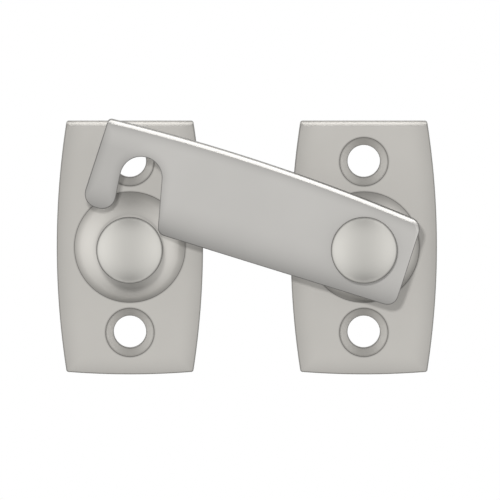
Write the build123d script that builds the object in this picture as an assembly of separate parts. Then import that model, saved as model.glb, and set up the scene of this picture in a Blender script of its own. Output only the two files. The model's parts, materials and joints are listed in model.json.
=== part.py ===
from build123d import *
import math
import os

# A shutter latch: a flat bar swings on a riveted stud and drops over the neck of a second stud.
# Each stud stands on its own cast plate, and each plate screws to one of the two meeting shutters.
# Millimetres and degrees. +X is to the right and +Z is up. The mounting surface is the plane Y = 0,
# and the latch stands out from it towards -Y. The origin is on the pivot's axis in that plane.
# A height below is a distance out from the mounting surface.

# Layout
stud_spacing = 27.5          # from the pivot's axis to the keeper's axis, with the shutters closed
raised_angle = 18.0          # the bar as shown stands this far above its level, latched position

# Plates, two alike, with bowed sides and a lower edge that bows a little
plate_rise = 14.75           # from the stud's axis to the straight upper edge
plate_drop = 15.0            # from the stud's axis to the lowest point of the lower edge
plate_width = 17.2           # at the stud's axis
plate_end_width = 14.9       # at the corners
plate_thickness = 2.8
plate_foot_bow = 0.3
plate_corner_radius = 0.5
plate_bevel = 0.5            # along the upper edge of the front

# Domed boss on each plate: a steep skirt, then a flatter crown, then a flat seat
boss_radius = 6.5
boss_height = 2.1
boss_skirt_inset = 0.75
boss_skirt_height = 0.75
boss_seat_radius = 3.95

# Countersunk screw holes, one above and one below each boss
screw_spacing = 20.1
screw_hole_radius = 1.91
countersink_radius = 2.85
countersink_angle = 82

# Studs, two alike, turned, with a domed head, and peened over behind the plate
head_radius = 3.9
head_dome_height = 1.7
head_rim_height = 0.7
neck_radius = 2.15
tail_radius = 1.5
peen_radius = 1.8
peen_depth = 0.3

# Friction washer between the pivot's boss and the bar
washer_radius = 3.5
washer_thickness = 0.4

# Bar, measured from the pivot's axis, level
bar_thickness = 3.0
bar_heel = 5.5               # to the square end past the pivot
bar_hook_rise = 5.35         # to the upper edge at the hooked end
bar_heel_rise = 5.1          # to the upper edge at the square end
bar_upper_bow = 0.8          # how far the upper edge bows above its ends
bar_hook_drop = 5.9          # to the straight lower edge at the hooked end
bar_heel_drop = 5.4          # to the lower edge at the square end
bar_heel_radius = 1.3
bar_crown_radius = 0.5       # at the upper corner of the hooked end
bar_bevel = 0.4              # along the upper edge of the front
finger_width = 3.3           # the hook's finger, beside the keeper's neck
finger_shortfall = 0.85      # the finger's tip ends this far above the lower edge
slot_finger_lean = 6.5       # the finger side of the slot follows the neck's path
slot_mouth_lean = 13.5       # the other side flares to lead the neck in
slot_mouth_radius = 1.0
relief_start = 1.05          # below the pivot's axis, where the front face starts to ease off
relief_depth = 1.4           # how far it has eased off at the lower edge's lowest point

# Clearances
pivot_clearance = 0.05       # neck in the bar's bore and in the washer, on the radius
hook_clearance = 0.29        # neck in the hook's slot, on the radius
head_clearance = 0.1         # bar under the heads
washer_clearance = 0.02      # bar over the washer
tail_clearance = 0.02        # stud tail in its hole, on the radius

# Heights that follow
plate_front = plate_thickness
boss_seat = plate_front + boss_height
bar_back = boss_seat + washer_thickness + washer_clearance
bar_front = bar_back + bar_thickness
head_seat = bar_front + head_clearance
slot_radius = neck_radius + hook_clearance
finger_reach = bar_hook_drop - finger_shortfall
keeper_x = -stud_spacing
hook_end = keeper_x - slot_radius - finger_width
beyond = 2 * stud_spacing    # reach of a cutter that passes right through


def facing_plane(x, z, height):
    """Drawing plane seen from the front, at a height over the mounting surface."""
    return Plane((x, -height, z), x_dir=(1, 0, 0), z_dir=(0, -1, 0))


def turned(profile, x):
    """Solid of revolution about the axis of the stud at x, from a profile of radius and height."""
    turning_plane = Plane((x, 0, 0), x_dir=(1, 0, 0), z_dir=(0, 0, -1))
    return revolve(turning_plane * profile, Axis((x, 0, 0), (0, -1, 0)))


def bevelled(body, bevel):
    """Body with the upper edge of its flat front face cut at 45 degrees."""
    front_face = body.faces().sort_by(Axis.Y)[0]
    upper_edge = front_face.edges().sort_by(Axis.Z)[-1]
    return chamfer(upper_edge, bevel)


def plate_outline():
    """Barrel-sided outline of a plate about its stud's axis."""
    foot_corner = plate_foot_bow - plate_drop
    half_end = plate_end_width / 2
    half_width = plate_width / 2
    outline = Curve() + [
        Line((-half_end, plate_rise), (half_end, plate_rise)),
        ThreePointArc((half_end, plate_rise), (half_width, 0), (half_end, foot_corner)),
        ThreePointArc((half_end, foot_corner), (0, -plate_drop), (-half_end, foot_corner)),
        ThreePointArc((-half_end, foot_corner), (-half_width, 0), (-half_end, plate_rise)),
    ]
    return make_face(outline)


def crown_arc(outer, inner):
    """Arc of a half section that turns into a sphere's crown, between points of radius and height."""
    outer_radius, low = outer
    inner_radius, high = inner
    centre = (high + low) / 2 - (outer_radius**2 - inner_radius**2) / (2 * (high - low))
    start = math.degrees(math.atan2(low - centre, outer_radius))
    end = math.degrees(math.atan2(high - centre, inner_radius))
    return CenterArc((0, centre), math.hypot(outer_radius, low - centre), start, end - start)


def boss_profile():
    """Half section of the domed boss, rooted in the plate and flat at its seat."""
    root = plate_front / 2
    skirt_top = (boss_radius - boss_skirt_inset, plate_front + boss_skirt_height)
    seat_edge = (boss_seat_radius, boss_seat)
    rest = Polyline(
        seat_edge, (0, boss_seat), (0, root), (boss_radius, root), (boss_radius, plate_front), skirt_top
    )
    return make_face(Curve() + [crown_arc(skirt_top, seat_edge), rest])


def tail_hole_profile():
    """Half section of the hole for a stud's tail, with its countersink at the back."""
    radius = tail_radius + tail_clearance
    peen = peen_radius + tail_clearance
    return make_face(
        Polyline((0, 0), (peen, 0), (radius, peen_depth), (radius, boss_seat), (0, boss_seat), close=True)
    )


def plate(x):
    """Cast plate with its boss, two countersunk screw holes and the stud's hole."""
    outline = plate_outline()
    front_plane = facing_plane(x, 0, 0)
    body = bevelled(extrude(front_plane * outline, plate_thickness), plate_bevel)
    body &= extrude(front_plane * fillet(outline.vertices(), plate_corner_radius), plate_thickness)
    body += turned(boss_profile(), x)
    body -= turned(tail_hole_profile(), x)
    for side in (1, -1):
        screw_plane = facing_plane(x, side * screw_spacing / 2, plate_front)
        body -= screw_plane * CounterSinkHole(
            screw_hole_radius, countersink_radius, plate_thickness, countersink_angle
        )
    return body


def stud(x):
    """Turned stud: peened tail, neck that shoulders on the boss, and a domed head."""
    rim = (head_radius, head_seat + head_rim_height)
    crown = (0, head_seat + head_rim_height + head_dome_height)
    rest = Polyline(
        crown,
        (0, 0),
        (peen_radius, 0),
        (tail_radius, peen_depth),
        (tail_radius, boss_seat),
        (neck_radius, boss_seat),
        (neck_radius, head_seat),
        (head_radius, head_seat),
        rim,
    )
    return turned(make_face(Curve() + [crown_arc(rim, crown), rest]), x)


def friction_washer():
    """Flat ring round the pivot's neck that drags on the bar, so the bar stays where it is put."""
    ring = Circle(washer_radius) - Circle(neck_radius + pivot_clearance)
    return extrude(facing_plane(0, 0, boss_seat) * ring, washer_thickness)


def slot_outline():
    """Open-ended slot of the hook: round at the keeper's neck and flared towards its mouth."""
    finger_lean = math.radians(slot_finger_lean)
    mouth_lean = math.radians(slot_mouth_lean)
    run = 2 * bar_hook_drop
    finger_top = Vector(-math.cos(finger_lean), -math.sin(finger_lean)) * slot_radius
    finger_end = finger_top + Vector(math.sin(finger_lean), -math.cos(finger_lean)) * run
    mouth_top = Vector(math.cos(mouth_lean), math.sin(mouth_lean)) * slot_radius
    mouth_end = mouth_top + Vector(math.sin(mouth_lean), -math.cos(mouth_lean)) * run
    sides = make_face(Polyline(finger_top, finger_end, mouth_end, mouth_top, close=True))
    return Pos(keeper_x, 0) * (Circle(slot_radius) + sides)


def blank_outline():
    """Four-sided outline of the level bar about the pivot's axis, before its hook is cut."""
    upper_left = (hook_end, bar_hook_rise)
    upper_right = (bar_heel, bar_heel_rise)
    upper_middle = ((hook_end + bar_heel) / 2, (bar_hook_rise + bar_heel_rise) / 2 + bar_upper_bow)
    straight_sides = Polyline(upper_left, (hook_end, -bar_hook_drop), (bar_heel, -bar_heel_drop), upper_right)
    return make_face(Curve() + [straight_sides, ThreePointArc(upper_right, upper_middle, upper_left)])


def bar_outline():
    """Outline of the level bar with its hook at the left and its corners rounded."""
    below_finger = Rectangle(keeper_x - hook_end, bar_hook_drop, align=(Align.MIN, Align.MAX))
    outline = blank_outline() - slot_outline()
    outline -= Pos(hook_end, -finger_reach) * below_finger

    finger_slant = math.tan(math.radians(slot_finger_lean)) * finger_reach
    mouth_slant = math.tan(math.radians(slot_mouth_lean)) * bar_hook_drop
    rounded_corners = [
        ((hook_end, -finger_reach), finger_width / 2),
        ((hook_end + finger_width + finger_slant, -finger_reach), finger_width / 2),
        ((keeper_x + slot_radius + mouth_slant, -bar_hook_drop), slot_mouth_radius),
        ((bar_heel, -bar_heel_drop), bar_heel_radius),
        ((bar_heel, bar_heel_rise), bar_heel_radius),
        ((hook_end, bar_hook_rise), bar_crown_radius),
    ]
    for corner, radius in rounded_corners:
        nearest = outline.vertices().sort_by_distance(Vector(*corner))[0]
        outline = fillet(nearest, radius)
    return outline


def relief_cutter():
    """Waste in front of the eased lower edge: the face curves back as it nears that edge."""
    relief_width = bar_hook_drop - relief_start
    curve_radius = (relief_width**2 + relief_depth**2) / (2 * relief_depth)
    clear_front = bar_front + bar_thickness
    start = (-relief_start, bar_front)
    eased = RadiusArc(start, (-bar_hook_drop, bar_front - relief_depth), curve_radius)
    below = (eased @ 1) + (eased % 1) * bar_hook_drop
    waste = Polyline(eased @ 1, below, (below.X, clear_front), (-relief_start, clear_front), start)
    section_plane = Plane((0, 0, 0), x_dir=(0, 0, 1), z_dir=(1, 0, 0))
    return extrude(section_plane * make_face(Curve() + [eased, waste]), beyond, both=True)


def latch_bar():
    """Cast bar: bevel, hook, bore and eased lower edge, drawn level and then swung up."""
    back_plane = facing_plane(0, 0, bar_back)
    body = bevelled(extrude(back_plane * blank_outline(), bar_thickness), bar_bevel)
    body &= extrude(back_plane * bar_outline(), bar_thickness)
    body -= relief_cutter()
    body -= extrude(back_plane * Circle(neck_radius + pivot_clearance), bar_thickness)
    return Rot(0, raised_angle, 0) * body


os.makedirs("parts", exist_ok=True)
nodes = {
    "keeper_plate": plate(keeper_x),
    "keeper_stud": stud(keeper_x),
    "pivot_plate": plate(0),
    "pivot_stud": stud(0),
    "friction_washer": friction_washer(),
    "latch_bar": latch_bar(),
}
for name, solid in nodes.items():
    export_step(solid, f"parts/{name}.step")
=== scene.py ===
import json
import math

import bmesh
import bpy
from mathutils import Matrix, Vector
from mathutils.geometry import intersect_line_line_2d


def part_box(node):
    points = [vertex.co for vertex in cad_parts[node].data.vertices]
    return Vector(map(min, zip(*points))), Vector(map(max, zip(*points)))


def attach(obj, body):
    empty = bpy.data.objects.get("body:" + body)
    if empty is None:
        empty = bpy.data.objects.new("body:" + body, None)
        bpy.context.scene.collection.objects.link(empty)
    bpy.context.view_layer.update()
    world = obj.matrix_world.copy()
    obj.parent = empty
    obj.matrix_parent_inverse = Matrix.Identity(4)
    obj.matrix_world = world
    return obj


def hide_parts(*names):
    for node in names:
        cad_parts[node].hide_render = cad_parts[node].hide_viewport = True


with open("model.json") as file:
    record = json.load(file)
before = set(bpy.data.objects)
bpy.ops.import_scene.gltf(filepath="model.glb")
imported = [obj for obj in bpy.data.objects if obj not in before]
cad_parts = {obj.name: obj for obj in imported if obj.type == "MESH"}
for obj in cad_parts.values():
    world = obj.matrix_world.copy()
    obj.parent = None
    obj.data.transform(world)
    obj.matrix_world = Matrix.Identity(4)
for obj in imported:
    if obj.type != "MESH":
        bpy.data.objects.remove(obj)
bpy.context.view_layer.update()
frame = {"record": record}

# Cast plates, two alike: brass castings with bowed sides, a bevelled upper edge and a domed boss.
# They are satin nickel plated, and two countersunk wood screws fix each one to its shutter.
mm = 0.001
mounts = {mount["name"]: mount for mount in frame["record"]["mounts"]}
pivot_x = mounts["pivot_screws"]["pos_m"][0]
keeper_x = mounts["keeper_screws"]["pos_m"][0]
screw_spacing = mounts["pivot_screws"]["dims"]["spacing_y_mm"] * mm
screw_hole_radius = mounts["pivot_screws"]["dims"]["hole_r_mm"] * mm
plate_low, plate_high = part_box("pivot_plate")
plate_rise = plate_high.z
plate_drop = -plate_low.z
plate_half_width = plate_high.x - pivot_x
boss_seat = -plate_low.y
plate_thickness = 2.8 * mm
plate_half_end = 7.45 * mm
plate_foot_bow = 0.3 * mm
plate_corner_radius = 0.3 * mm
plate_bevel = 0.5 * mm
plate_bevel_depth = 0.6 * mm
boss_radius = 6.5 * mm
boss_skirt_top = Vector((5.75, 3.55)) * mm
boss_shoulder_radius = 2.2 * mm
boss_seat_radius = 3.95 * mm
boss_seat_edge_radius = 0.5 * mm
boss_crown_steps = 4
boss_sides = 128
hole_sides = 72
bow_steps = 24
countersink_radius = 2.85 * mm
countersink_angle = math.radians(82)
cone_band_ends = (0.2, 0.85)
ring_spacing = 0.08 * mm
ring_lift = 0.6
ring_depth = 0.5
stud_hole_radius = 1.52 * mm
stud_hole_mouth = 1.82 * mm
stud_hole_mouth_depth = 0.3 * mm
edge_radius = 0.12 * mm
least_radius = 0.02 * mm
bevel_softness = 0.02 * mm
bevel_margin = 0.032 * mm
flat_margin = 0.2 * mm
# Painted shade: thin dark lines along edges and in creases, and darker outer walls.
shade_line_width = 0.04 * mm
sharp_radius = 0.1 * mm
outline_shade = 0.65
wall_shade = 0.4
# Painted shade towards a plate's sides and foot and in its countersinks.
plate_shade_width = 2.6 * mm
plate_side_shade = 0.35
countersink_shade = 0.3
plate_colour = (0.527, 0.511, 0.481)
blast_grain_size = 0.12 * mm
noise_detail = 2
nickel_metallic = 0.7
nickel_cloud_size = 5 * mm
nickel_cloud_range = (0.97, 1.03)
# How much the painted shade darkens the plating's colour.
nickel_shade_loss = 0.6
nickel_edge_shade_loss = 0.8
nickel_brightest = 1.5
nickel_roughness = 0.25
nickel_cloud_roughness = 0.06
nickel_tooth_roughness = 0.04
nickel_edge_shade_roughness = 0.15
tooth_strength = 0.08
tooth_height = 0.01 * mm


def rounded_path(corners, steps=6):
    """Points through corners of (x, y, radius), with an arc at each corner that has a radius."""
    path = []
    for index, (x, y, radius) in enumerate(corners):
        here = Vector((x, y))
        if not radius:
            path.append(here)
            continue
        before = (Vector(corners[index - 1][:2]) - here).normalized()
        after = (Vector(corners[(index + 1) % len(corners)][:2]) - here).normalized()
        half_angle = before.angle(after) / 2
        centre = here + (before + after).normalized() * radius / math.sin(half_angle)
        reach = radius / math.tan(half_angle)
        first = (here + before * reach - centre).normalized()
        last = (here + after * reach - centre).normalized()
        path += [centre + first.slerp(last, step / steps) * radius for step in range(steps + 1)]
    return path


def bow_at(share):
    """How far a bow stands out at a share of its length: 0 at its ends and 1 in the middle."""
    return 4 * share * (1 - share)


def bowed_side(start, end, bow):
    """Points between two corners of an outline, on a side that bows outwards by a distance."""
    outward = Vector((end.y - start.y, start.x - end.x)).normalized()
    shares = [step / bow_steps for step in range(1, bow_steps)]
    points = [start.lerp(end, share) + outward * bow * bow_at(share) for share in shares]
    return [(point.x, point.y, 0) for point in points]


def crown_points(outer, inner, steps):
    """Points between two places of a half section, on a sphere centred on the axis."""
    centre_height = (outer.y + inner.y) / 2 - (outer.x**2 - inner.x**2) / (2 * (inner.y - outer.y))
    centre = Vector((0, centre_height))
    first, last = outer - centre, inner - centre
    shares = [step / steps for step in range(1, steps)]
    points = [centre + first.normalized().slerp(last.normalized(), share) * first.length for share in shares]
    return [(point.x, point.y, 0) for point in points]


def sharpness(path):
    """How sharply a section bends at each of its points, from 0 to 1 at a fine edge or crease."""
    marks = [0]
    for before, here, after in zip(path, path[1:], path[2:]):
        bend = (here - before).angle(after - here) / min((here - before).length, (after - here).length)
        marks.append(min(bend * sharp_radius, 1))
    return marks + [0]


def circle(radius, sides):
    """Closed loop of points round the origin."""
    turns = [2 * math.pi * side / sides for side in range(sides)]
    return [Vector((math.cos(turn), math.sin(turn))) * radius for turn in turns]


def new_casting():
    """Empty mesh whose vertices carry painted shade along edges, walls and in creases."""
    mesh = bmesh.new()
    mesh.verts.layers.float.new("tarnish")
    return mesh


def add_ring(mesh, loop, height, tarnish, centre=(0, 0)):
    """Closed ring of vertices, drawn as seen from the front, at a height over the mounting surface."""
    ring = [mesh.verts.new((centre[0] + point.x, -height, centre[1] + point.y)) for point in loop]
    # Each vertex keeps the painted shade given for its ring.
    for vertex in ring:
        vertex[mesh.verts.layers.float["tarnish"]] = tarnish
    return ring


def add_wall(mesh, rings):
    """Faces between rings that follow each other."""
    for lower, upper in zip(rings, rings[1:]):
        for here, there in zip(range(-1, len(lower) - 1), range(len(lower))):
            mesh.faces.new((lower[here], lower[there], upper[there], upper[here]))


def add_flat(mesh, rings):
    """Flat face inside the first ring, with the other rings as its holes."""
    edges = [mesh.edges.get((ring[side - 1], ring[side])) for ring in rings for side in range(len(ring))]
    bmesh.ops.triangle_fill(mesh, use_beauty=True, edges=edges)


def add_turned_hole(mesh, profile, sides, centre):
    """Wall turned about an axis square to the plate, from a path of radius and height."""
    rings = [
        add_ring(mesh, circle(point.x, sides), point.y, tarnish, centre)
        for point, tarnish in zip(profile, sharpness(profile))
    ]
    add_wall(mesh, rings)
    return rings


def front_edge(bevel, back, front, radius):
    """Path of inset and height round the edge of a flat piece, with rings where a bevel may bend it."""
    bends = [bevel - bevel_softness, bevel, bevel + bevel_softness, bevel + bevel_margin]
    return rounded_path([
        (bevel, back, 0),
        (0, back, edge_radius),
        (0, back + edge_radius + shade_line_width, 0),
        (0, front - radius - shade_line_width, 0),
        (0, front, radius),
        (radius + shade_line_width, front, 0),
        *[(inset, front, 0) for inset in bends],
    ])


def edge_shade_marks(edge):
    """Painted shade along the path round the edge of a flat piece: thin dark lines at its bends and a darker
    wall.
    """
    bends = sharpness(edge)
    return [wall_shade if point.x == 0 else bend * outline_shade for point, bend in zip(edge, bends)]


def cut_bevel(mesh, edge_height, bevel, depth):
    """Presses the front back along an upper edge, whose height is a function of x, to form its bevel."""
    middle = sum(-vertex.co.y for vertex in mesh.verts) / len(mesh.verts)
    for vertex in mesh.verts:
        if -vertex.co.y > middle:
            inside = vertex.co.z - edge_height(vertex.co.x) + bevel
            if inside > bevel_softness:
                vertex.co.y += inside * depth / bevel
            elif inside > -bevel_softness:
                vertex.co.y += (inside + bevel_softness) ** 2 / (4 * bevel_softness) * depth / bevel


def finished_piece(mesh, name, material):
    """Object with smooth faces that look outwards, from a mesh that is then freed."""
    bmesh.ops.recalc_face_normals(mesh, faces=mesh.faces[:])
    data = bpy.data.meshes.new(name)
    mesh.to_mesh(data)
    mesh.free()
    data.shade_smooth()
    data.materials.append(material)
    piece = bpy.data.objects.new(name, data)
    bpy.context.scene.collection.objects.link(piece)
    return piece


class Signal:
    """A node's output. Sums, products and other nodes grow from it in the same tree."""

    def __init__(self, socket):
        self.socket = socket

    def node(self, kind, inputs, output=0, **settings):
        """Output of a new node, whose settings are set first and then its sockets' values or links."""
        tree = self.socket.id_data
        made = tree.nodes.new(kind)
        for name, value in settings.items():
            setattr(made, name, value)
        for name, value in inputs.items():
            if isinstance(value, Signal):
                tree.links.new(value.socket, made.inputs[name])
            else:
                made.inputs[name].default_value = value
        return Signal(made.outputs[output])

    def math(self, operation, first, second=0.0):
        return self.node("ShaderNodeMath", {0: first, 1: second}, operation=operation)

    def __add__(self, other):
        return self.math("ADD", self, other)

    def __radd__(self, other):
        return self.math("ADD", other, self)

    def __sub__(self, other):
        return self.math("SUBTRACT", self, other)

    def __rsub__(self, other):
        return self.math("SUBTRACT", other, self)

    def __mul__(self, other):
        return self.math("MULTIPLY", self, other)

    def __rmul__(self, other):
        return self.math("MULTIPLY", other, self)

    def __truediv__(self, other):
        return self.math("DIVIDE", self, other)

    def __pow__(self, other):
        return self.math("POWER", self, other)

    def __abs__(self):
        return self.math("ABSOLUTE", self)

    def drive(self, shader, name):
        """Links this output to a socket of a shader."""
        self.socket.id_data.links.new(self.socket, shader.inputs[name])


def new_material(name):
    """Material with its shader and the Object coordinates that its patterns read."""
    material = bpy.data.materials.new(name)
    material.use_nodes = True
    shader = material.node_tree.nodes["Principled BSDF"]
    coordinates = material.node_tree.nodes.new("ShaderNodeTexCoord")
    return material, shader, Signal(coordinates.outputs["Object"])


def noise(place, size):
    """Soft noise between 0 and 1 with features of a size in metres."""
    return place.node("ShaderNodeTexNoise", {"Vector": place, "Scale": 1 / size, "Detail": noise_detail})


def mixed(factor, first, second):
    """Colour between two colours, which a mix node takes in its sockets 6 and 7."""
    return factor.node("ShaderNodeMix", {0: factor, 6: first, 7: second}, output=2, data_type="RGBA")


def shaded(colour, share):
    """A colour made lighter or darker, with its alpha."""
    return (*(channel * share for channel in colour), 1)


def satin_nickel(name, colour, tooth, painted_shade, tool_marks=None):
    """Satin nickel plating: faint clouding, an uneven gloss, a fine tooth, and painted shade along its edges
    and in creases.

    The tooth is what the finishing leaves in the surface, the painted shade is where its colour is darkened
    to stand in for shade, and the tool marks are how a cutter has tipped it. All are functions of the place
    on the piece."""
    material, shader, place = new_material(name)
    cloud = noise(place, nickel_cloud_size)
    # Painted shade: the colour is darker along the mesh's edges and walls and in its creases.
    tarnish = place.node("ShaderNodeAttribute", {}, output="Fac", attribute_name="tarnish")
    dimmest, lightest = nickel_cloud_range
    brightness = dimmest + (lightest - dimmest) * cloud
    # Painted shade darkens the colour where the given function says and along the marked edges.
    brightness *= (1 - nickel_shade_loss * painted_shade(place)) * (1 - nickel_edge_shade_loss * tarnish)
    black = (0, 0, 0, 1)
    mixed(brightness / nickel_brightest, black, shaded(colour, nickel_brightest)).drive(shader, "Base Color")
    shader.inputs["Metallic"].default_value = nickel_metallic
    shader.inputs["Specular Tint"].default_value = black
    grain = tooth(place)
    roughness = nickel_roughness + nickel_cloud_roughness * cloud + nickel_tooth_roughness * grain
    (roughness + nickel_edge_shade_roughness * tarnish).drive(shader, "Roughness")
    bump = {"Height": grain, "Strength": tooth_strength, "Distance": tooth_height}
    if tool_marks:
        bump["Normal"] = tool_marks(place)
    place.node("ShaderNodeBump", bump).drive(shader, "Normal")
    return material


def from_stud_axis(place):
    """How far a place lies to the side of the nearer stud's axis, and how high over it."""
    half_spacing = (pivot_x - keeper_x) / 2
    x = place.node("ShaderNodeSeparateXYZ", {0: place}, output="X")
    z = place.node("ShaderNodeSeparateXYZ", {0: place}, output="Z")
    return abs(abs(x + half_spacing) - half_spacing), z


def fading(distance, width):
    """Falls softly from 1 to 0 over a width."""
    return distance.node("ShaderNodeClamp", {"Value": 1 - distance / width}) ** 2


def from_screw_axis(place):
    """How far a place lies from the nearest screw's axis."""
    aside, z = from_stud_axis(place)
    return (aside**2 + (abs(z) - screw_spacing / 2) ** 2) ** 0.5


def in_countersink(place):
    """1 in a countersink and 0 on the rest of a plate."""
    y = place.node("ShaderNodeSeparateXYZ", {0: place}, output="Y")
    near_screw = place.math("LESS_THAN", from_screw_axis(place), countersink_radius - edge_radius)
    return near_screw * place.math("LESS_THAN", y, -plate_thickness / 2)


def countersink_rings(place):
    """The fine rings that the cutter leaves in a countersink tip its surface up and down the slope."""
    ring = place.math("SINE", from_screw_axis(place) * (2 * math.pi / ring_spacing))
    tip = 1 + (ring_lift + ring_depth * ring) * in_countersink(place)
    normal = place.node("ShaderNodeTexCoord", {}, output="Normal")
    stretch = place.node("ShaderNodeCombineXYZ", {"X": 1, "Y": tip, "Z": 1})
    tipped = place.node("ShaderNodeVectorMath", {0: normal, 1: stretch}, operation="MULTIPLY")
    spaces = {"vector_type": "NORMAL", "convert_from": "OBJECT", "convert_to": "WORLD"}
    return place.node("ShaderNodeVectorTransform", {"Vector": tipped}, **spaces)


def plate_painted_shade(place):
    """Painted shade: a plate's colour is darker towards its sides, at its foot and in its countersinks."""
    aside, z = from_stud_axis(place)
    share = (z + plate_drop) / (plate_rise + plate_drop)
    half_width = plate_half_end + (plate_half_width - plate_half_end) * bow_at(share)
    inside = place.math("MINIMUM", half_width - aside, z + plate_drop)
    at_edges = fading(inside, plate_shade_width)
    return plate_side_shade * at_edges + countersink_shade * in_countersink(place)


def blasted_tooth(place):
    """Fine even tooth of a blasted casting."""
    return noise(place, blast_grain_size)


def plate_loop(inset):
    """Outline of a plate about its stud's axis, moved inwards all round."""
    foot = plate_foot_bow - plate_drop + inset
    top = plate_rise - inset
    end = plate_half_end - inset
    side_bow = plate_half_width - plate_half_end
    radius = max(plate_corner_radius - inset, least_radius)
    corners = [Vector((-end, foot)), Vector((end, foot)), Vector((end, top)), Vector((-end, top))]
    outline = []
    for index, bow in enumerate((plate_foot_bow, side_bow, 0, side_bow)):
        outline.append((*corners[index], radius))
        outline += bowed_side(corners[index], corners[(index + 1) % len(corners)], bow)
    return rounded_path(outline)


def cast_plate(name, x, material):
    """Plate with its boss, screw holes and stud hole."""
    mesh = new_casting()
    edge = front_edge(plate_bevel, 0, plate_thickness, edge_radius)
    wall = [
        add_ring(mesh, plate_loop(point.x), point.y, tarnish, (x, 0))
        for point, tarnish in zip(edge, edge_shade_marks(edge))
    ]
    add_wall(mesh, wall)
    cut_bevel(mesh, lambda _: plate_rise, plate_bevel, plate_bevel_depth)

    seat_edge = Vector((boss_seat_radius, boss_seat))
    boss = rounded_path([
        (boss_radius + flat_margin, plate_thickness, 0),
        (boss_radius, plate_thickness, edge_radius),
        (*boss_skirt_top, boss_shoulder_radius),
        *crown_points(boss_skirt_top, seat_edge, boss_crown_steps),
        (*seat_edge, boss_seat_edge_radius),
        (stud_hole_radius, boss_seat, 0),
        (stud_hole_radius, stud_hole_mouth_depth, 0),
        (stud_hole_mouth, 0, 0),
        (stud_hole_mouth + flat_margin, 0, 0),
    ])
    fronts, backs = [wall[-1]], [wall[0]]
    rings = add_turned_hole(mesh, boss, boss_sides, (x, 0))
    fronts.append(rings[0])
    backs.append(rings[-1])

    cone_depth = (countersink_radius - screw_hole_radius) / math.tan(countersink_angle / 2)
    cone_mouth = Vector((countersink_radius, plate_thickness))
    cone_end = Vector((screw_hole_radius, plate_thickness - cone_depth))
    # Two rings between the ends of the cone keep the painted shade of its edges narrow.
    screw_hole = rounded_path([
        (countersink_radius + flat_margin, plate_thickness, 0),
        (*cone_mouth, edge_radius),
        *[(*cone_mouth.lerp(cone_end, share), 0) for share in cone_band_ends],
        (*cone_end, edge_radius),
        (screw_hole_radius, 0, edge_radius),
        (screw_hole_radius + flat_margin + edge_radius, 0, 0),
    ])
    for z in (screw_spacing / 2, -screw_spacing / 2):
        rings = add_turned_hole(mesh, screw_hole, hole_sides, (x, z))
        fronts.append(rings[0])
        backs.append(rings[-1])
    add_flat(mesh, fronts)
    add_flat(mesh, backs)
    return finished_piece(mesh, name, material)


plate_finish = satin_nickel("plate_nickel", plate_colour, blasted_tooth, plate_painted_shade, countersink_rings)
for node, x in (("keeper_plate", keeper_x), ("pivot_plate", pivot_x)):
    plate = cast_plate("cast_" + node, x, plate_finish)
    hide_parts(node)
    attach(plate, "plates")

# Studs, two alike: turned brass, satin nickel plated, with a domed head over a neck.
# The tail goes through the boss and is peened over in a small countersink behind the plate.
stud_low, stud_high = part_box("pivot_stud")
head_radius = stud_high.x - pivot_x
head_top = -stud_low.y
head_rim = 9.12 * mm
head_under = 8.42 * mm
head_edge_radius = 0.12 * mm
head_rim_width = 0.12 * mm
head_under_radius = 0.1 * mm
head_crown_steps = 20
# Painted shade in a ring round a head's rim.
head_shade_width = 0.15 * mm
head_rim_shade = 0.7
neck_radius = 2.15 * mm
neck_foot_radius = 0.04 * mm
neck_fillet = 0.08 * mm
tail_radius = 1.5 * mm
peen_radius = 1.8 * mm
peen_depth = 0.3 * mm
peen_edge_radius = 0.04 * mm
stud_sides = 128
weld_distance = 0.001 * mm
stud_colour = (0.527, 0.515, 0.485)
turning_pitch = 0.14 * mm
turning_ripple = 0.25
turning_grain = 0.5
turning_grain_size = 0.1 * mm


def turning_tree():
    """Turns a profile of radius and height about a stud's axis and gives the result a material."""
    tree = bpy.data.node_groups.new("turned_piece", "GeometryNodeTree")
    sockets = {}
    for name, kind in (("Profile", "Geometry"), ("Axis", "Vector"), ("Sides", "Int"), ("Finish", "Material")):
        socket = tree.interface.new_socket(name, in_out="INPUT", socket_type="NodeSocket" + kind)
        sockets[name] = socket.identifier
    tree.interface.new_socket("Turned", in_out="OUTPUT", socket_type="NodeSocketGeometry")
    given = tree.nodes.new("NodeGroupInput").outputs
    profile, axis, sides, finish = (Signal(given[name]) for name in sockets)
    hub = 1 * mm
    path = sides.node("GeometryNodeCurvePrimitiveCircle", {"Resolution": sides, "Radius": hub})
    path = path.node("GeometryNodeSetCurveNormal", {"Curve": path}, mode="Z_UP")
    section = profile.node("GeometryNodeSetPosition", {"Geometry": profile, "Offset": (-hub, 0, 0)})
    section = section.node("GeometryNodeMeshToCurve", {"Mesh": section})
    turned = path.node("GeometryNodeCurveToMesh", {"Curve": path, "Profile Curve": section})
    turned = turned.node("GeometryNodeMergeByDistance", {"Geometry": turned, "Distance": weld_distance})
    turned = turned.node("GeometryNodeSetShadeSmooth", {"Geometry": turned})
    place = axis.node("GeometryNodePoints", {"Count": 1, "Position": axis})
    facing = {"Points": place, "Instance": turned, "Rotation": (-math.pi / 2, 0, 0)}
    turned = place.node("GeometryNodeInstanceOnPoints", facing)
    turned = turned.node("GeometryNodeRealizeInstances", {"Geometry": turned})
    turned = turned.node("GeometryNodeSetMaterial", {"Geometry": turned, "Material": finish})
    result = tree.nodes.new("NodeGroupOutput")
    tree.links.new(turned.socket, result.inputs[0])
    return tree, sockets


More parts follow.
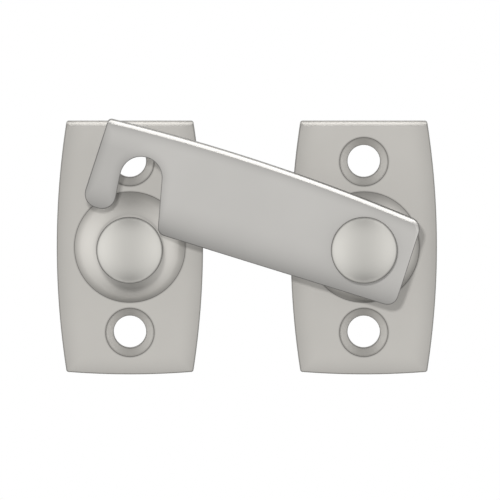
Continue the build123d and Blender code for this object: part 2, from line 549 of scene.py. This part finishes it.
def turned_piece(name, profile, closed, x, sides, material):
    """Plain mesh object turned from a profile about the axis of the stud at x."""
    data = bpy.data.meshes.new(name)
    count = len(profile)
    points = [(point.x, point.y, 0) for point in profile]
    edges = [((corner - 1) % count, corner) for corner in range(count) if closed or corner]
    data.from_pydata(points, edges, [])
    # Painted shade along the stud's edges and in its creases, by how sharply its profile bends.
    data.attributes.new("tarnish", "FLOAT", "POINT").data.foreach_set("value", sharpness(profile))
    piece = bpy.data.objects.new(name, data)
    bpy.context.scene.collection.objects.link(piece)
    modifier = piece.modifiers.new("turning", "NODES")
    modifier.node_group = turning[0]
    for socket, value in (("Axis", (x, 0, 0)), ("Sides", sides), ("Finish", material)):
        modifier[turning[1][socket]] = value
    graph = bpy.context.evaluated_depsgraph_get()
    piece.data = bpy.data.meshes.new_from_object(piece.evaluated_get(graph))
    piece.modifiers.clear()
    return piece


def turning_marks(place):
    """Faint rings that the turning tool leaves about the nearer stud's axis."""
    aside, z = from_stud_axis(place)
    radius = (aside**2 + z**2) ** 0.5
    ripple = radius.math("SINE", radius * (2 * math.pi / turning_pitch))
    grain = noise(place, turning_grain_size)
    return 0.5 + turning_ripple * ripple + turning_grain * (grain - 0.5)


def head_painted_shade(place):
    """Painted shade: a head's colour is darker in a ring at its rim than on its crown."""
    aside, z = from_stud_axis(place)
    inside = head_radius - head_rim_width - (aside**2 + z**2) ** 0.5
    return head_rim_shade * fading(inside, head_shade_width)


turning = turning_tree()
rim = Vector((head_radius, head_rim))
stud_profile = rounded_path([
    (0, 0, 0),
    (peen_radius - flat_margin, 0, 0),
    (peen_radius, 0, peen_edge_radius),
    (tail_radius, peen_depth, 0),
    (tail_radius, boss_seat, 0),
    (neck_radius, boss_seat, neck_foot_radius),
    (neck_radius, head_under, neck_fillet),
    (head_radius, head_under, head_under_radius),
    (*rim, head_edge_radius),
    *crown_points(rim, Vector((0, head_top)), head_crown_steps),
    (0, head_top, 0),
])
stud_finish = satin_nickel("stud_nickel", stud_colour, turning_marks, head_painted_shade)
for node, x in (("keeper_stud", keeper_x), ("pivot_stud", pivot_x)):
    stud = turned_piece("turned_" + node, stud_profile, False, x, stud_sides, stud_finish)
    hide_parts(node)
    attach(stud, "plates")
    # The satin faces round a stud would show only a dark smudge of it, so they don't mirror it.
    stud.visible_glossy = False

# Friction washer: a thin ring punched from natural nylon sheet, round the pivot's neck.
# It is pinched between the boss and the bar, so the bar stays where it is put.
washer_low, washer_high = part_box("friction_washer")
washer_bore = 2.2 * mm
washer_edge_radius = 0.06 * mm
washer_sides = 96
nylon_colour = (0.78, 0.76, 0.7)
nylon_cloud_size = 1.5 * mm
nylon_cloud_range = (0.93, 1.05)
nylon_roughness = 0.4
nylon_wax_size = 0.3 * mm
nylon_wax_roughness = 0.12


def natural_nylon(name):
    """Milky nylon with faint clouding and a waxy, slightly uneven surface."""
    material, shader, place = new_material(name)
    cloud = noise(place, nylon_cloud_size)
    dim, light = (shaded(nylon_colour, share) for share in nylon_cloud_range)
    mixed(cloud, dim, light).drive(shader, "Base Color")
    (nylon_roughness + nylon_wax_roughness * noise(place, nylon_wax_size)).drive(shader, "Roughness")
    return material


washer_profile = rounded_path([
    (washer_bore, -washer_low.y, washer_edge_radius),
    (washer_high.x, -washer_low.y, washer_edge_radius),
    (washer_high.x, -washer_high.y, washer_edge_radius),
    (washer_bore, -washer_high.y, washer_edge_radius),
])
washer_finish = natural_nylon("natural_nylon")
washer = turned_piece("nylon_washer", washer_profile, True, pivot_x, washer_sides, washer_finish)
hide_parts("friction_washer")
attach(washer, "plates")

# Latch bar: a flat brass casting, satin nickel plated, with a hook slot at one end and a bore for the pivot.
# Its front is brushed along its length and eases off towards the lower edge, which leads it under the heads.
bar_low, bar_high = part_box("latch_bar")
bar_front = -bar_low.y
bar_back = -bar_high.y
raised_angle = math.radians(18)
bar_heel = 5.5 * mm
bar_hook_rise = 5.35 * mm
bar_heel_rise = 5.1 * mm
bar_upper_bow = 0.8 * mm
bar_hook_drop = 5.9 * mm
bar_heel_drop = 5.4 * mm
bar_heel_radius = 1.3 * mm
bar_crown_radius = 0.5 * mm
bar_bevel = 0.46 * mm
bar_bevel_depth = 0.62 * mm
bar_edge_radius = 0.08 * mm
bar_corner_steps = 10
# Painted shade beside the bar's edges, on its finger and towards its foot.
bar_shade_width = 1.3 * mm
bar_shade_beside_edges = 0.35
bar_foot_shade_width = 4.5 * mm
bar_foot_shade = 0.5
finger_shade_width = 3 * mm
finger_shade = 0.2
bar_bore_radius = 2.2 * mm
finger_width = 3.3 * mm
finger_reach = 5.05 * mm
slot_radius = 2.44 * mm
slot_finger_lean = math.radians(6.5)
slot_mouth_lean = math.radians(13.5)
slot_mouth_radius = 1 * mm
slot_steps = 24
relief_start = 1.05 * mm
relief_depth = 1.6 * mm
relief_cuts = 14
cut_tolerance = 1e-7
finger_end = keeper_x - slot_radius - finger_width
bar_colour = (0.521, 0.51, 0.49)
brushing_width = 0.1 * mm
brushing_squeeze = 0.04


def slot_side(lean, turn, reach):
    """Place on a leaning side of the slot, at a reach below the pivot's axis."""
    top = Vector((keeper_x + math.cos(turn) * slot_radius, math.sin(turn) * slot_radius))
    return Vector((top.x + (top.y + reach) * math.tan(lean), -reach))


def upper_edge_height(x):
    """Height of the bar's bowed upper edge over the pivot's axis, along the level bar."""
    share = (bar_heel - x) / (bar_heel - finger_end)
    return bar_heel_rise + (bar_hook_rise - bar_heel_rise) * share + bar_upper_bow * bow_at(share)


def bevelled_edge_height(x):
    """Height of the upper edge and of its rounded corner at the heel, where the bevel follows it round."""
    corner_start = bar_heel - bar_heel_radius
    past = min(max(x - corner_start, 0), bar_heel_radius)
    corner_drop = bar_heel_radius - math.sqrt(bar_heel_radius**2 - past**2)
    return upper_edge_height(min(x, corner_start)) - corner_drop


def lower_edge_height(x):
    """Height of the bar's straight lower edge, below the pivot's axis, along the level bar."""
    return -bar_heel_drop - (bar_hook_drop - bar_heel_drop) * (bar_heel - x) / (bar_heel - finger_end)


def bar_loop():
    """Outline of the level bar about the pivot's axis."""
    finger_turn = math.pi + slot_finger_lean
    turn_step = (slot_mouth_lean - finger_turn) / slot_steps
    slot_turns = [finger_turn + turn_step * step for step in range(slot_steps + 1)]
    heel_top = Vector((bar_heel, bar_heel_rise))
    hook_top = Vector((finger_end, bar_hook_rise))
    heel_foot = Vector((bar_heel, -bar_heel_drop))
    hook_foot = Vector((finger_end, -bar_hook_drop))
    mouth_top = slot_side(slot_mouth_lean, slot_mouth_lean, 0)
    mouth_end = slot_side(slot_mouth_lean, slot_mouth_lean, 2 * bar_hook_drop)
    mouth_corner = intersect_line_line_2d(mouth_top, mouth_end, heel_foot, hook_foot)
    return rounded_path([
        (finger_end, -finger_reach, finger_width / 2),
        (*slot_side(slot_finger_lean, finger_turn, finger_reach), finger_width / 2),
        *[(keeper_x + slot_radius * math.cos(turn), slot_radius * math.sin(turn), 0) for turn in slot_turns],
        (*mouth_corner, slot_mouth_radius),
        (*heel_foot, bar_heel_radius),
        (*heel_top, bar_heel_radius),
        *bowed_side(heel_top, hook_top, bar_upper_bow),
        (*hook_top, bar_crown_radius),
    ], bar_corner_steps)


def moved_in(loop, inset):
    """Closed loop moved inwards by the same distance all round."""
    moved = []
    for index, here in enumerate(loop):
        before = (here - loop[index - 1]).normalized()
        after = (loop[(index + 1) % len(loop)] - here).normalized()
        inward = Vector((-before.y - after.y, before.x + after.x)).normalized()
        moved.append(here + inward * inset / inward.dot(Vector((-before.y, before.x))))
    return moved


def relief(z):
    """How far the front has eased off at a height over the pivot's axis."""
    below = max(-relief_start - z, 0)
    width = bar_hook_drop - relief_start
    curve_radius = (width**2 + relief_depth**2) / (2 * relief_depth)
    return curve_radius - math.sqrt(curve_radius**2 - below**2)


def hooked_bar(name, material):
    """Bar with its slot, bore, bevel and eased lower edge, drawn level and swung up."""
    mesh = new_casting()
    loop = bar_loop()
    edge = front_edge(bar_bevel, bar_back, bar_front, bar_edge_radius)
    wall = [
        add_ring(mesh, moved_in(loop, point.x), point.y, tarnish)
        for point, tarnish in zip(edge, edge_shade_marks(edge))
    ]
    add_wall(mesh, wall)
    cut_bevel(mesh, bevelled_edge_height, bar_bevel, bar_bevel_depth)
    bore = rounded_path([
        (bar_bore_radius + flat_margin, bar_front, 0),
        (bar_bore_radius, bar_front, edge_radius),
        (bar_bore_radius, bar_back, edge_radius),
        (bar_bore_radius + flat_margin, bar_back, 0),
    ])
    bore_rings = add_turned_hole(mesh, bore, hole_sides, (pivot_x, 0))
    add_flat(mesh, [wall[-1], bore_rings[0]])
    add_flat(mesh, [wall[0], bore_rings[-1]])

    for cut in range(relief_cuts):
        level = (0, 0, -relief_start - (bar_hook_drop - relief_start) * cut / relief_cuts)
        everything = mesh.verts[:] + mesh.edges[:] + mesh.faces[:]
        bmesh.ops.bisect_plane(mesh, geom=everything, dist=cut_tolerance, plane_co=level, plane_no=(0, 0, 1))
    middle = (bar_front + bar_back - relief_depth) / 2
    for vertex in mesh.verts:
        if -vertex.co.y > middle:
            vertex.co.y += relief(vertex.co.z)
    bmesh.ops.dissolve_degenerate(mesh, dist=weld_distance, edges=mesh.edges[:])
    bmesh.ops.transform(mesh, matrix=Matrix.Rotation(raised_angle, 4, "Y"), verts=mesh.verts)
    return finished_piece(mesh, name, material)


def level_place(place):
    """Where a place on the raised bar would lie with the bar level."""
    return place.node("ShaderNodeMapping", {"Vector": place, "Rotation": (0, -raised_angle, 0)})


def lengthwise_brushing(place):
    """Fine lines along the bar from its brushing."""
    squeeze = {"Vector": level_place(place), "Scale": (brushing_squeeze, 1, 1)}
    return noise(place.node("ShaderNodeMapping", squeeze), brushing_width)


def bar_painted_shade(place):
    """Painted shade: the bar's colour is darker beside its edges, on the finger and towards its foot."""
    level = level_place(place)
    x = place.node("ShaderNodeSeparateXYZ", {0: level}, output="X")
    z = place.node("ShaderNodeSeparateXYZ", {0: level}, output="Z")
    below_bevel = upper_edge_height(x) - bar_bevel - z
    beside_bevel = fading(below_bevel, bar_shade_width) * place.math("GREATER_THAN", below_bevel, 0)
    beside_finger = fading(x - finger_end, bar_shade_width)
    past_finger = place.math("MAXIMUM", x - (finger_end + finger_width), z - slot_radius)
    on_finger = fading(past_finger, finger_shade_width)
    below_neck = place.math("MINIMUM", z, 0)
    above_neck = place.math("MAXIMUM", z, 0)
    slot_drift = (math.tan(slot_mouth_lean) + math.tan(slot_finger_lean)) / 2
    slot_spread = (math.tan(slot_mouth_lean) - math.tan(slot_finger_lean)) / 2
    from_slot = ((x - keeper_x + below_neck * slot_drift) ** 2 + above_neck**2) ** 0.5
    beside_slot = fading(from_slot + below_neck * slot_spread - slot_radius, bar_shade_width)
    beside_edges = place.math("MAXIMUM", place.math("MAXIMUM", beside_bevel, beside_finger), beside_slot)
    at_foot = fading(z - lower_edge_height(x), bar_foot_shade_width)
    shade_share = place.math("MAXIMUM", bar_shade_beside_edges * beside_edges, bar_foot_shade * at_foot)
    return shade_share + finger_shade * on_finger


bar_finish = satin_nickel("bar_nickel", bar_colour, lengthwise_brushing, bar_painted_shade)
bar = hooked_bar("hooked_bar", bar_finish)
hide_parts("latch_bar")
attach(bar, "bar")
# Like the studs, the bar isn't mirrored in the satin faces near it.
bar.visible_glossy = False

# Stage: a small pale table well below the latch, a softbox behind and above it, for the bevels, and a
# small key lamp in front, for the bar's shadow on the plates. The studio round them is white behind,
# glows at its sides and is greyer at its floor and ceiling.
table_height = -150 * mm
table_size = 200 * mm
table_colour = (0.8, 0.8, 0.79)
table_mottle_size = 20 * mm
table_mottle_range = (0.98, 1.02)
table_roughness = 0.7
table_mottle_roughness = 0.1
studio_level = 0.585
rear_glow = 0.375
side_glow = 1.12
side_lean = 0.05
ceiling_shade = 1.0
floor_shade = 0.9
rear_shade = 1.0
end_narrowness = 8
side_glow_reach = 0.6
rear_sharpness = 3
background_reach = 0.88
aim = Vector((-13.38, 0, -0.513)) * mm


def softbox(name, bearing, elevation, distance, width, height, radiance):
    """Area lamp that faces the latch; bearing 0 is in front of it and 90 is on its right."""
    turn, rise = math.radians(bearing), math.radians(elevation)
    way = Vector((math.sin(turn) * math.cos(rise), -math.cos(turn) * math.cos(rise), math.sin(rise)))
    lamp = bpy.data.lights.new(name, "AREA")
    lamp.shape = "RECTANGLE"
    lamp.size = width
    lamp.size_y = height
    lamp.energy = radiance * math.pi * width * height
    box = bpy.data.objects.new(name, lamp)
    box.location = aim + way * distance
    box.rotation_euler = (-way).to_track_quat("-Z", "Y").to_euler()
    box.visible_camera = False
    bpy.context.scene.collection.objects.link(box)
    return box


softbox("rear_softbox", bearing=180, elevation=60, distance=0.4, width=0.8, height=0.36, radiance=3)
key_lamp = softbox("key_lamp", bearing=-5, elevation=13, distance=0.4, width=0.03, height=0.03, radiance=700)
# The key lamp is kept out of the mirror images, where it would be a hard white spot.
key_lamp.visible_glossy = False

table_mesh = bmesh.new()
bmesh.ops.create_grid(table_mesh, x_segments=1, y_segments=1, size=table_size / 2)
bmesh.ops.translate(table_mesh, verts=table_mesh.verts, vec=(aim.x, table_size / 2, table_height))
table_finish, table_shader, table_place = new_material("pale_table")
mottle = noise(table_place, table_mottle_size)
table_dim, table_light = (shaded(table_colour, share) for share in table_mottle_range)
mixed(mottle, table_dim, table_light).drive(table_shader, "Base Color")
(table_roughness + table_mottle_roughness * mottle).drive(table_shader, "Roughness")
finished_piece(table_mesh, "pale_table", table_finish)

world = bpy.data.worlds.new("studio")
bpy.context.scene.world = world
world.use_nodes = True
backdrop = world.node_tree.nodes["Background"]
way = Signal(world.node_tree.nodes.new("ShaderNodeTexCoord").outputs["Generated"])
across = way.node("ShaderNodeSeparateXYZ", {0: way}, output="X")
depth = way.node("ShaderNodeSeparateXYZ", {0: way}, output="Y")
height = way.node("ShaderNodeSeparateXYZ", {0: way}, output="Z")
in_front = way.node("ShaderNodeClamp", {"Value": side_glow_reach - rear_sharpness * depth})
sides = across * across * (side_glow - side_lean * across) * in_front
below = way.math("LESS_THAN", height, 0)
ends = height**end_narrowness * (ceiling_shade + (floor_shade - ceiling_shade) * below)
at_rear = way.node("ShaderNodeClamp", {"Value": rear_sharpness * depth})
rear = height * height * rear_shade * at_rear
level = (studio_level + rear_glow * at_rear) * (1 + sides - way.math("MAXIMUM", ends, rear))
behind = way.math("GREATER_THAN", depth, background_reach)
camera_ray = way.node("ShaderNodeLightPath", {}, output="Is Camera Ray")
glossy_ray = way.node("ShaderNodeLightPath", {}, output="Is Glossy Ray")
clear_ray = way.node("ShaderNodeLightPath", {}, output="Is Transmission Ray")
white_part = way.math("MAXIMUM", camera_ray, (glossy_ray + clear_ray) * behind)
(level + (1 - level) * white_part).drive(backdrop, "Strength")
backdrop.inputs["Color"].default_value = (1, 1, 1, 1)
bpy.context.scene.view_settings.view_transform = "Standard"

# Camera: straight on and a little above the latch, and so far away that the view is almost without
# perspective. Its lens frames the width of the view at the latch.
camera_distance = 2
camera_elevation = math.radians(3.5)
view_width = 58.85 * mm
lens = bpy.data.cameras.new("camera")
lens.lens = lens.sensor_width * camera_distance / view_width
lens.clip_end = 2 * camera_distance
camera = bpy.data.objects.new("camera", lens)
camera.location = aim + Vector((0, -math.cos(camera_elevation), math.sin(camera_elevation))) * camera_distance
camera.rotation_euler = (math.pi / 2 - camera_elevation, 0, 0)
bpy.context.scene.collection.objects.link(camera)
bpy.context.scene.camera = camera
